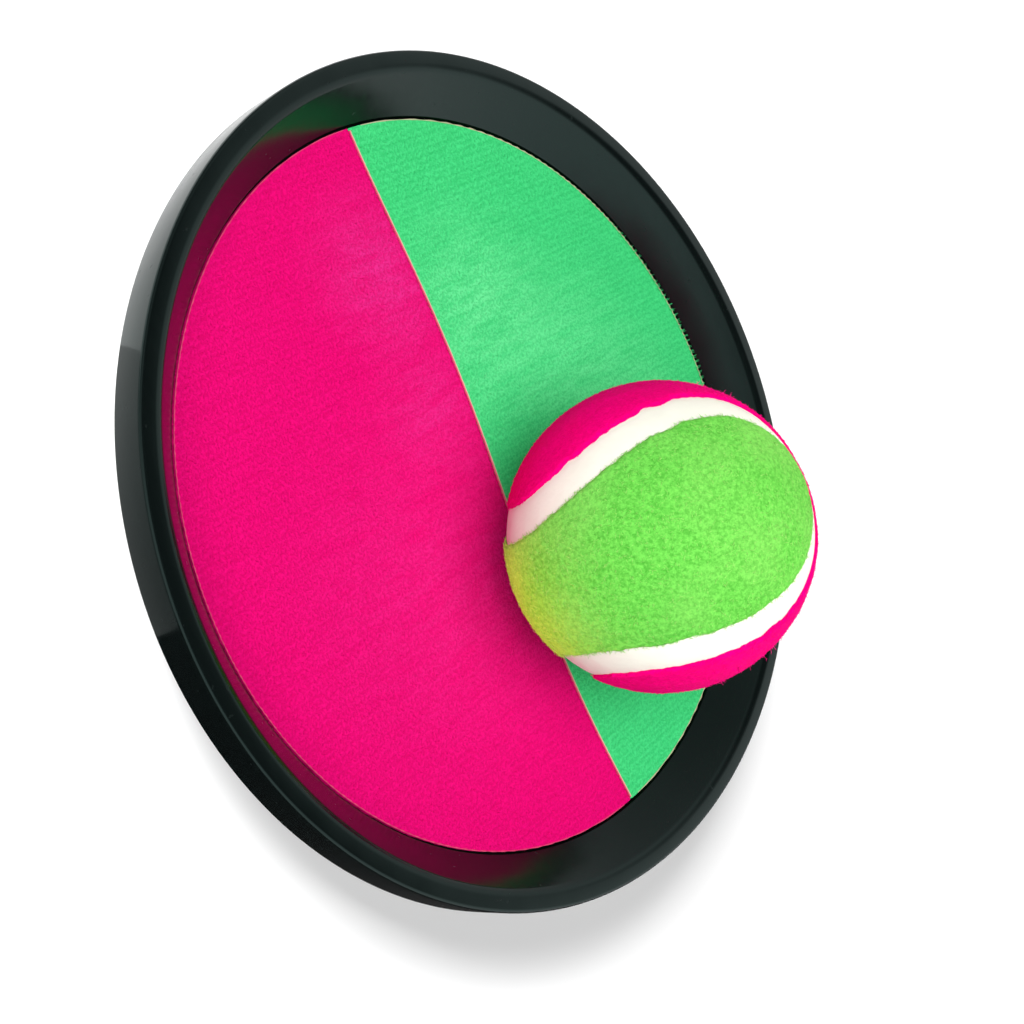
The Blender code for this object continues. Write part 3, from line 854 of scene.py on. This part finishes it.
def make_pads():
    """Each pad as a sheet with its hooks, its cut edge and, on the green one, loose row ends."""
    for name, (side, colours, painted_sheen_spots, edge_colours, seed) in PAD_LOOKS.items():
        slot = "pad_" + name
        cloth = grip_material("grip_cloth_" + name, *colours, painted_sheen_spots)
        nylon = grip_material("grip_hooks_" + name, *colours, painted_sheen_spots, lift=0.40)
        cut = fibre_material("cut_edge_" + name, *edge_colours)
        sheet = make_pad_sheet("grip_pad_" + name, side, cloth, slot)
        pieces = [make_hooks("grip_hooks_" + name, side, nylon, seed),
                  make_cut_edge("pad_edge_" + name, side, cut)]
        if name == "green":
            pieces.append(make_fray("pad_fray_green", nylon))


# Strap

def rise(start, end, segments=16):
    """Smooth bend between two levels, both ends left out."""
    points = []
    for i in range(1, segments):
        share = i / segments
        ease = (1 - math.cos(math.pi * share)) / 2
        points.append((start[0] + (end[0] - start[0]) * share, start[1] + (end[1] - start[1]) * ease))
    return points


def strap_path():
    """Side view of the strap's centre line, from its sewn end to its folded end."""
    turn_radius = (STRAP_SPAN - STRAP_UNDER) / 2
    turn_x = BAR_PLACE + BAR_WIDTH / 2 - BRIDGE_ROUNDING
    middle = (STRAP_SPAN + STRAP_UNDER) / 2
    sewn, folded = (SEWN_START, STRAP_SEWN), (FOLDED_START, STRAP_FOLDED)
    path = [(SEWN_START + SEWN_LENGTH, STRAP_SEWN), sewn]
    path += rise(sewn, (-INBOARD, STRAP_UNDER))
    path += [(-INBOARD, STRAP_UNDER)]
    path += corner_arc((-turn_x, middle), turn_radius, -90, -270, 20)
    path += corner_arc((turn_x, middle), turn_radius, 90, -90, 20)
    path += [(INBOARD, STRAP_UNDER)]
    path += rise((INBOARD, STRAP_UNDER), folded)
    path += [folded, (FOLDED_START - HOOK_TAPE_LENGTH, STRAP_FOLDED)]
    return np.array(path)


def evened(path, step):
    """The same line with points at an even spacing."""
    lengths = np.concatenate([[0], np.cumsum(np.linalg.norm(np.diff(path, axis=0), axis=1))])
    places = np.linspace(0, lengths[-1], int(lengths[-1] / step) + 1)
    return np.column_stack([np.interp(places, lengths, path[:, k]) for k in (0, 1)]), lengths[-1]


def make_strap():
    """The folded webbing, with rounded edges, ribs along it and picks across. Returns its length too."""
    line, length = evened(strap_path(), 1.0 * MM)
    along = unit(np.gradient(line, axis=0))
    normal = np.column_stack([-along[:, 1], along[:, 0]])
    across = np.linspace(-1, 1, STRAP_COLUMNS)
    half_width = STRAP_WIDTH / 2
    body = np.sqrt(np.clip(1 - np.clip((np.abs(across) - 0.955) / 0.045, 0, 1) ** 2, 0.02, 1))
    ribs = np.cos(2 * math.pi * across * half_width / (1.9 * MM)) * 0.05 * MM
    picks = np.cos(math.pi * np.arange(len(line)))[:, None] * 0.03 * MM
    half = (STRAP_THICKNESS / 2 - 0.08 * MM) * body[None] + ribs[None] * body[None] + picks
    y = np.repeat((across * half_width)[None], len(line), axis=0)
    sheets = []
    for sign in (1, -1):
        x = line[:, :1] + normal[:, :1] * half * sign
        z = line[:, 1:] + normal[:, 1:] * half * sign
        sheets.append(np.stack([x, y, z], -1).reshape(-1, 3))
    faces = slab_faces(len(line), STRAP_COLUMNS)
    strap = add_piece("hand_strap_webbing", np.vstack(sheets), faces, webbing_material(),
                      ("hand_strap",), sharp=60, merge=MERGE_DISTANCE)
    return strap, length


def stitch_row(start, end, normal, pitch=2.6 * MM):
    """Thread that dips in and out of the cloth along a straight line."""
    start, end, normal = (np.asarray(v, float) for v in (start, end, normal))
    count = max(1, int(np.linalg.norm(end - start) / pitch))
    stitches = []
    for i in range(count):
        low = start + (end - start) * (i + 0.10) / count
        high = start + (end - start) * (i + 0.90) / count
        bow = np.array([math.sin(math.pi * k / 5) for k in range(6)]) * 0.16 * MM - 0.06 * MM
        path = low + (high - low) * np.linspace(0, 1, 6)[:, None] + normal * bow[:, None]
        stitches.append(path)
    return stitches


def make_stitching():
    """Thread round the sewn end, with a cross in it, and round both tapes."""
    skin = STRAP_THICKNESS / 2
    boxes = [(SEWN_START + 2 * MM, SEWN_START + SEWN_LENGTH - 2 * MM, STRAP_WIDTH / 2 - 4 * MM, True,
              (STRAP_SEWN - skin, -1), (STRAP_SPAN + skin, 1))]
    for length, face in ((LOOP_TAPE_LENGTH, (STRAP_SPAN + skin, 1)),
                         (HOOK_TAPE_LENGTH, (STRAP_FOLDED - skin, -1))):
        boxes.append((FOLDED_START - length + TAPE_EDGE_MARGIN, FOLDED_START - TAPE_EDGE_MARGIN,
                      STRAP_WIDTH / 2 - 3 * MM, False, face))
    paths = []
    for x0, x1, half, crossed, *levels in boxes:
        for z, sign in levels:
            corners = [(x0, -half), (x1, -half), (x1, half), (x0, half)]
            runs = list(zip(corners, corners[1:] + corners[:1]))
            if crossed:
                runs += [(corners[0], corners[2]), (corners[1], corners[3])]
            for a, b in runs:
                paths += stitch_row((*a, z), (*b, z), (0, 0, sign))
    thread = fibre_material("strap_thread", (0.020, 0.020, 0.021), (0.045, 0.045, 0.048), 0.6)
    return add_fibres("strap_stitching", np.stack(paths), THREAD_RADIUS, thread)


def make_tape(name, node, material, up):
    """A flat fastening tape: a woven base with hooks on its face, or loops."""
    low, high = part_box(node)
    z0, z1 = (low.z, low.z + TAPE_BASE) if up else (high.z - TAPE_BASE, high.z)
    x, y = np.meshgrid(np.linspace(low.x, high.x, 60), np.linspace(low.y, high.y, 36))
    flat = np.stack([x, y, x * 0], -1).reshape(-1, 3)
    wave = lumps(flat, 1.5 * MM, 2.2).reshape(x.shape) * 0.06 * MM
    top = np.stack([x, y, np.full_like(x, z1) + (wave - 0.06 * MM if up else 0)], -1).reshape(-1, 3)
    bottom = np.stack([x, y, np.full_like(x, z0) + (0 if up else wave + 0.06 * MM)], -1).reshape(-1, 3)
    tape = add_piece(name, np.vstack([top, bottom]), slab_faces(*x.shape), material, (node,),
                     sharp=50, merge=MERGE_DISTANCE)
    rng = np.random.default_rng(41 if up else 43)
    places = np.meshgrid(*(np.arange(a + PILE_SPACING, b - PILE_SPACING / 2, PILE_SPACING)
                           for a, b in ((low.x, high.x), (low.y, high.y))))
    places = np.stack([part.ravel() for part in places], -1)
    places += rng.normal(0, 0.15 * MM, places.shape)
    count = len(places)
    sign = 1 if up else -1
    root = np.column_stack([places, np.full(count, (z1 if up else z0) - sign * 0.1 * MM)])
    angle = rng.uniform(0, 2 * math.pi, count)
    aim = np.column_stack([np.cos(angle), np.sin(angle), angle * 0])
    if up:
        aim = np.tile((1.0, 0.0, 0.0), (count, 1)) * np.where(np.arange(count) % 2, 1, -1)[:, None]
    shape = TAPE_HOOK_SHAPE if up else TAPE_LOOP_SHAPE
    path = [root + aim * out * MM + np.array((0, 0, sign * height * MM)) for out, height in shape]
    pile_name = name + ("_hooks" if up else "_loops")
    pile = add_fibres(pile_name, np.stack(path, 1), PILE_RADIUS, material)


# Ball

BALL_TURNED = Euler([math.radians(a) for a in BALL_TURN], "XYZ").to_matrix()


def in_place(points, turned_over=False):
    """From the ball's own axes to the frame; turned_over is the second panel's half turn."""
    points = np.asarray(points)
    if turned_over:
        points = points * (1.0, -1.0, -1.0)
    return points @ np.array(BALL_TURNED).T + np.array(BALL_CENTRE)


def seam_point(t):
    """Points of the ball's wavy seam line on a unit sphere."""
    a, b = 1.0 - SEAM_WAVE, SEAM_WAVE
    return np.stack([a * np.cos(t) + b * np.cos(3 * t), a * np.sin(t) - b * np.sin(3 * t),
                     2 * math.sqrt(a * b) * np.sin(2 * t)], -1)


def beside_seam(t, distance):
    """Unit vectors at a distance beside the seam line, measured on the ball's surface."""
    place = seam_point(t)
    small = 0.001
    along = unit(seam_point(t + small) - seam_point(t - small))
    across = np.cross(place, along)
    angle = (distance / BALL_RADIUS)[:, None]
    return unit(place * np.cos(angle) + across * np.sin(angle))


def swung(start, end, shares):
    """Unit vectors spread along the arcs from start to end."""
    angle = np.arccos(np.clip((start * end).sum(-1), -1, 1))[:, None, None]
    shares = shares[None, :, None]
    sine = np.sin(angle)
    flat = sine < 1e-6
    safe = np.where(flat, 1.0, sine)
    first = np.where(flat, 1 - shares, np.sin((1 - shares) * angle) / safe)
    second = np.where(flat, shares, np.sin(shares * angle) / safe)
    return unit(first * start[:, None] + second * end[:, None])


def panel_directions(columns, ragged, seed):
    """Grid of unit vectors over one felt panel, with ragged cut edges."""
    t = -math.pi / 4 + math.pi * np.arange(FELT_ROWS + 1) / FELT_ROWS
    path = seam_point(t) * BALL_RADIUS
    taper = np.sin(np.pi * np.arange(FELT_ROWS + 1) / FELT_ROWS) ** 0.5
    edges = []
    for shift in (0.0, 40.0):
        rough = lumps(path, 1.5 * MM, seed + shift) * 0.30 + lumps(path, 0.7 * MM, seed + shift + 9) * 0.20
        rough += lumps(path, 3.5 * MM, seed + shift + 5) * 0.50
        edges.append(beside_seam(t, SEAM_WIDTH / 2 + (rough * taper * ragged) * MM))
    mirrored = np.stack([-edges[1][:, 1], -edges[1][:, 0], edges[1][:, 2]], -1)
    mirrored[0], mirrored[-1] = edges[0][0], edges[0][-1]
    return swung(edges[0], mirrored, np.linspace(0, 1, columns))


def make_felt(name, node, material, turned_over, ragged, seed):
    outward = panel_directions(FELT_COLUMNS, ragged, seed)
    rows, columns, _ = outward.shape
    start, end = outward[:, :1], outward[:, -1:]
    margin = np.minimum(np.arccos(np.clip((outward * start).sum(-1), -1, 1)),
                        np.arccos(np.clip((outward * end).sum(-1), -1, 1))) * BALL_RADIUS
    flat = outward.reshape(-1, 3) * BALL_RADIUS
    fuzz = lumps(flat, 1.1 * MM, seed) * 0.08 + lumps(flat, 0.6 * MM, seed + 3) * 0.10
    fuzz += lumps(flat, 4.0 * MM, seed + 6) * 0.08
    drop = np.clip(1 - margin / (1.1 * MM), 0, 1) ** 2 * 0.55 * MM
    radius = BALL_RADIUS - 0.12 * MM - drop + fuzz.reshape(rows, columns) * MM
    top = (outward * radius[..., None]).reshape(-1, 3)
    shares = np.linspace(0, columns - 1, 11).astype(int)
    inner_radius = BALL_RADIUS - FELT_THICKNESS + 0.1 * MM
    inside = (outward[:, shares] * inner_radius).reshape(-1, 3)
    first = len(top)
    few = len(shares)
    faces = grid_faces(rows, columns) + grid_faces(rows, few, first, flip=True)
    for r in range(rows - 1):
        for a, b in ((0, 0), (columns - 1, few - 1)):
            above, below = r * columns + a, first + r * few + b
            faces.append((above, above + columns, below + few, below))
    points = in_place(np.vstack([top, inside]), turned_over)
    felt = add_piece(name, points, faces, material, (node,), sharp=70, merge=0.004 * MM)
    return felt, outward


def cell_sizes(outward):
    """Area of each cell of a grid of unit vectors."""
    a, b, c = outward[:-1, :-1], outward[1:, :-1], outward[:-1, 1:]
    return np.linalg.norm(np.cross(b - a, c - a), axis=-1)


def surface_samples(outward, count, rng, edge=False):
    """Random directions on a panel, even by area, or along its two cut edges."""
    size = cell_sizes(outward)
    if edge:
        keep = np.zeros_like(size)
        step = np.linalg.norm(np.diff(outward[:, 0], axis=0), axis=-1)
        keep[:, 0] = keep[:, -1] = step
        size = keep
    pick = rng.choice(size.size, count, p=(size / size.sum()).ravel())
    r, k = np.unravel_index(pick, size.shape)
    u, v = rng.uniform(0, 1, (2, count, 1))
    corner = outward[r, k]
    return unit(corner + u * (outward[r + 1, k] - corner) + v * (outward[r, k + 1] - corner))


def make_fuzz(name, outward, count, material, turned_over, seed):
    """Short fibres that stand off the felt, and those that cross its cut edges."""
    edge_count = EDGE_HAIRS
    rng = np.random.default_rng(seed)
    on_face = surface_samples(outward, count, rng)
    on_edge = surface_samples(outward, edge_count, rng, edge=True)
    way = np.concatenate([on_face, on_edge])
    total = len(way)
    tangent = rng.normal(size=(total, 3))
    tangent = unit(tangent - (tangent * way).sum(-1, keepdims=True) * way)
    curl = unit(np.cross(way, tangent))
    long = np.concatenate([rng.uniform(0.5, 1.05, count), rng.uniform(0.4, 0.9, edge_count)]) * MM
    lift = np.concatenate([rng.uniform(0.15, 0.55, count), rng.uniform(0.05, 0.3, edge_count)])
    depth = np.concatenate([np.full(count, 0.22), np.full(edge_count, 0.5)]) * MM
    path = []
    for share in (0.0, 0.5, 1.0):
        height = BALL_RADIUS - depth + long * lift * share
        slide = tangent * (long * share)[:, None] + curl * (long * 0.35 * share ** 2)[:, None]
        path.append(way * height[:, None] + slide)
    paths = in_place(np.stack(path, 1).reshape(-1, 3), turned_over).reshape(total, 3, 3)
    return add_fibres(name, paths, rng.uniform(0.045, 0.075, total) * MM, material)


def make_strays(name, material, seed):
    """A few long loose fibres on the side of the ball that has been brushed."""
    rng = np.random.default_rng(seed)
    paths = []
    lobe = unit(np.array([1.0, -1.0, 0.0]))
    brushed = unit(np.array(BALL_TURNED).T @ unit(np.array([0.62, -0.38, 0.68])))
    a, b = 1 - SEAM_WAVE, SEAM_WAVE
    while len(paths) < STRAY_HAIRS:
        way = unit(rng.normal(size=3))
        x, y, z = way
        # Below zero on the magenta side of the seam line
        side = 2 * math.sqrt(a * b) * x * y - z * (a * a / 2 - a * b - 1.5 * b * b + b / (2 * a) * z * z)
        if side > -0.10 or way @ brushed < 0.15 or abs(way @ lobe) < 0.2:
            continue
        heading = unit(np.cross(way, rng.normal(size=3)))
        step = rng.uniform(0.12, 0.30) * MM
        point = way * (BALL_RADIUS - 0.3 * MM)
        path = []
        for _ in range(8):
            path.append(point)
            heading = unit(heading + rng.normal(0, 0.45, 3) + way * 0.16)
            point = point + heading * step
        paths.append(path)
    paths = np.array(paths)
    paths = in_place(paths.reshape(-1, 3)).reshape(paths.shape)
    return add_fibres(name, paths, STRAY_RADIUS, material)


def make_ball_seam():
    """The rubber strip between the panels, a closed ring that reaches a little under both."""
    count, columns = 900, 11
    t = 2 * math.pi * np.arange(count) / count
    half = SEAM_WIDTH / 2 + 1.6 * MM
    shares = np.linspace(-1, 1, columns)
    inner = BALL_RADIUS - FELT_THICKNESS
    cross = [beside_seam(t, np.full(count, share * half)) for share in shares]
    top = []
    for share, way in zip(shares, cross):
        lump = lumps(way * BALL_RADIUS, 3.0 * MM, 4.4) * 0.05 * MM
        radius = BALL_RADIUS - 0.70 * MM - 0.30 * MM * abs(share) ** 4 + lump
        top.append(way * radius[:, None])
    ring = top + [cross[-1] * inner, cross[0] * inner]
    grid = np.stack(ring + ring[:1], 1)
    rows, wide, _ = grid.shape
    points = in_place(grid.reshape(-1, 3))
    faces = grid_faces(rows, wide, wrap=True)
    return add_piece("ball_seam_strip", points, faces, seam_material(), ("ball_seam",),
                     sharp=60, merge=MERGE_DISTANCE)


def make_ball():
    for colour, (turned_over, deep, bright, light, sheen, ragged, seed, hairs) in FELT_LOOKS.items():
        slot = "felt_" + colour
        felt = felt_material(slot, deep, bright, light, sheen)
        fibre = fibre_material("fuzz_" + colour, bright, light, 0.9)
        panel, outward = make_felt("felt_panel_" + colour, "ball_felt_" + colour, felt, turned_over,
                                   ragged, seed)
        pieces = [make_fuzz("felt_fuzz_" + colour, outward, hairs, fibre, turned_over, seed)]
        if colour == "magenta":
            pieces.append(make_strays("felt_strays_magenta", fibre, STRAY_SEED))
        area = float(cell_sizes(outward).sum()) * BALL_RADIUS ** 2
    make_ball_seam()
    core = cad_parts["ball_core"]
    core.data.materials.clear()
    core.data.materials.append(mixed_material("ball_core_rubber", 0.85, 2.0 * MM, (0.08, 0.07, 0.065),
                                              (0.14, 0.13, 0.12), 3.0, 0.2 * MM))


# Camera, floor and light

def make_camera():
    """The camera, placed from the paddle's pose as it sees it."""
    yaw, pitch, lean = (math.radians(turn) for turn in (PADDLE_YAW, PADDLE_PITCH, SEAM_LEAN))
    facing = Vector((math.sin(yaw) * math.cos(pitch), math.sin(pitch), math.cos(yaw) * math.cos(pitch)))
    level = Vector((math.cos(yaw), 0.0, -math.sin(yaw)))
    upright = facing.cross(level)
    part_y = -math.sin(lean) * level + math.cos(lean) * upright
    part_x = part_y.cross(facing)
    part_in_camera = Matrix((part_x, part_y, facing)).transposed().to_4x4()
    part_in_camera.translation = CREST_IN_CAMERA - facing * CREST
    data = bpy.data.cameras.new("camera")
    data.sensor_width = SENSOR_WIDTH
    data.lens = LENS
    data.clip_start = NEAR_CLIP
    camera = placed("camera", data)
    camera.matrix_world = part_in_camera.inverted()
    bpy.context.scene.camera = camera


def make_floor():
    signs = ((-1, -1), (1, -1), (1, 1), (-1, 1))
    corners = [(x * FLOOR_HALF, y * FLOOR_HALF, 0) for x, y in signs]
    floor = placed("floor", new_mesh("floor", corners, [(0, 1, 2, 3)]))
    floor.data.materials.append(mixed_material("floor_paper", 0.9, 0.4, (0.90, 0.90, 0.90),
                                               (0.92, 0.92, 0.92), Specular_IOR_Level=0.2))
    floor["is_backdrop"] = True


def make_card():
    """A low glowing card around the rim that only reflections show, so the side of the rim
    mirrors the card and not the bright floor."""
    turns = [math.radians(CARD_START + (CARD_END - CARD_START) * i / CARD_STEPS)
             for i in range(CARD_STEPS + 1)]
    points = [(*polar(r, a), CARD_HEIGHT) for a in turns for r in CARD_RADII]
    faces = [(2 * i, 2 * i + 1, 2 * i + 3, 2 * i + 2) for i in range(CARD_STEPS)]
    card = placed("reflection_card", new_mesh("reflection_card", points, faces))
    p = Paint("card_glow", 1.0, Specular_IOR_Level=0.0)
    turn = p.maths("ARCTAN2", p.part(1), p.maths("MULTIPLY", p.part(0), -1.0))
    edge = math.radians(180.0 - CARD_EDGE)
    bright = p.between(turn, edge, math.radians(180.0 - CARD_START), *CARD_GLOW)
    dim = p.between(turn, *(math.radians(a) for a in CARD_DIM_TURNS), *CARD_DIM)
    glow = p.maths("ADD", p.maths("MULTIPLY", bright, p.maths("GREATER_THAN", turn, edge)),
                   p.maths("MULTIPLY", dim, p.maths("LESS_THAN", turn, edge)))
    p.shader.inputs["Emission Color"].default_value = (*WHITE, 1.0)
    p.tree.links.new(glow, p.shader.inputs["Emission Strength"])
    black = (0.0, 0.0, 0.0)
    card.data.materials.append(p.finish(p.blend(0.0, black, black)))
    card.visible_camera = card.visible_diffuse = card.visible_shadow = card.visible_transmission = False
    card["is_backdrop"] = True


def grouped(name, objects):
    group = bpy.data.collections.new(name)
    for obj in objects:
        group.objects.link(obj)
    return group


def make_world():
    """A white world that lights no matt surface, and whose brightness falls along each axis."""
    world = bpy.data.worlds.new("studio")
    world.use_nodes = True
    nodes = Nodes(world.node_tree, "Generated")
    strength = 1.0
    for axis, ramp in WORLD_RAMPS.items():
        strength = nodes.maths("MULTIPLY", strength, nodes.between(nodes.part(axis), *ramp))
    background = nodes.tree.nodes["Background"]
    background.inputs["Color"].default_value = (*WHITE, 1.0)
    nodes.tree.links.new(strength, background.inputs["Strength"])
    world.cycles_visibility.diffuse = False
    bpy.context.scene.world = world


def make_lights():
    """Lights that no reflection shows. The dish alone shades the wash on the floor."""
    soft = [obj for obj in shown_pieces() if obj.name != "dish_moulding"]
    ball = [obj for obj in soft if obj.name.startswith(("felt", "ball"))]
    lit = {"all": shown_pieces(), "soft": soft, "ball": ball, "floor": [bpy.data.objects["floor"]],
           "lime": [obj for obj in ball if obj.name.endswith("lime")]}
    for name, (energy, group, place, side, aim, colour) in LIGHTS.items():
        data = bpy.data.lights.new(name, "AREA" if place else "SUN")
        data.energy = energy
        data.color = colour
        light = placed(name, data)
        light.visible_glossy = False
        light.light_linking.receiver_collection = grouped(name + "_lit", lit[group])
        if not place:
            data.use_shadow = False
            continue
        data.shape = "RECTANGLE"
        data.size = data.size_y = side
        light.location = place
        light.rotation_euler = (Vector(aim) - Vector(place)).to_track_quat("-Z", "Y").to_euler()
        light.visible_camera = False
    wash = bpy.data.objects["floor_wash"].light_linking
    wash.blocker_collection = grouped("floor_wash_blocker", [bpy.data.objects["dish_moulding"]])
    bpy.context.scene.view_settings.view_transform = "Standard"


make_camera()
make_floor()
make_card()
make_dish()
make_pads()
strap, strap_length = make_strap()
stitching = make_stitching()
make_tape("loop_tape_strip", "strap_loop_tape",
          tape_material("loop_pile", (0.014, 0.014, 0.015), (0.045, 0.045, 0.048)), up=False)
make_tape("hook_tape_strip", "strap_hook_tape",
          tape_material("hook_nylon", (0.010, 0.010, 0.011), (0.028, 0.028, 0.030)), up=True)
make_ball()
make_world()
make_lights()
